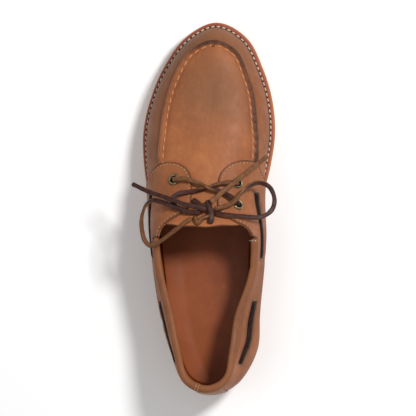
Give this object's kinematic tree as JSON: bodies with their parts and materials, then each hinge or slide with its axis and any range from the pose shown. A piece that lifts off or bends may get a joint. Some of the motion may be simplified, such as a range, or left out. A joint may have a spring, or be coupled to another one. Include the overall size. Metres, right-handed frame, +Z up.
{
  "type": "boat shoe",
  "caption": "Low leather boat shoe with a raised moc seam round the apron, eyelet tabs, a leather lace through the sides tied in a bow, and a flat rubber sole.",
  "frame": {"origin": "on the floor under the middle of the shoe's box", "axes": "+X towards the inner side of the left foot, +Y towards the toe, +Z up"},
  "size_m": [0.116, 0.3, 0.0841],
  "materials": {
    "outsole_rubber": "matt tan rubber",
    "midsole_rubber": "matt red-brown rubber welt",
    "insole_leather": "smooth brown lining leather",
    "upper_leather": "waxed tan leather, burnished at the seams",
    "lace_leather": "dark brown rawhide with a faint sheen",
    "eyelet_brass": "dull antique brass"
  },
  "bodies": {
    "root": {"outsole": "outsole_rubber", "midsole": "midsole_rubber", "insole": "insole_leather", "upper": "upper_leather", "tongue": "upper_leather", "quarter_lateral": "upper_leather", "quarter_medial": "upper_leather", "heel_tab": "upper_leather", "collar_roll": "upper_leather", "eyelet_lateral_front": "eyelet_brass", "eyelet_lateral_rear": "eyelet_brass", "eyelet_medial_front": "eyelet_brass", "eyelet_medial_rear": "eyelet_brass", "side_lace_lateral_rear": "lace_leather", "side_lace_lateral_front": "lace_leather", "side_lace_medial_rear": "lace_leather", "side_lace_medial_front": "lace_leather", "lace_cross": "lace_leather", "lace_knot": "lace_leather", "lace_loop_left": "lace_leather", "lace_end_left": "lace_leather", "lace_loop_right": "lace_leather", "lace_end_right": "lace_leather"}
  },
  "joints": []
}
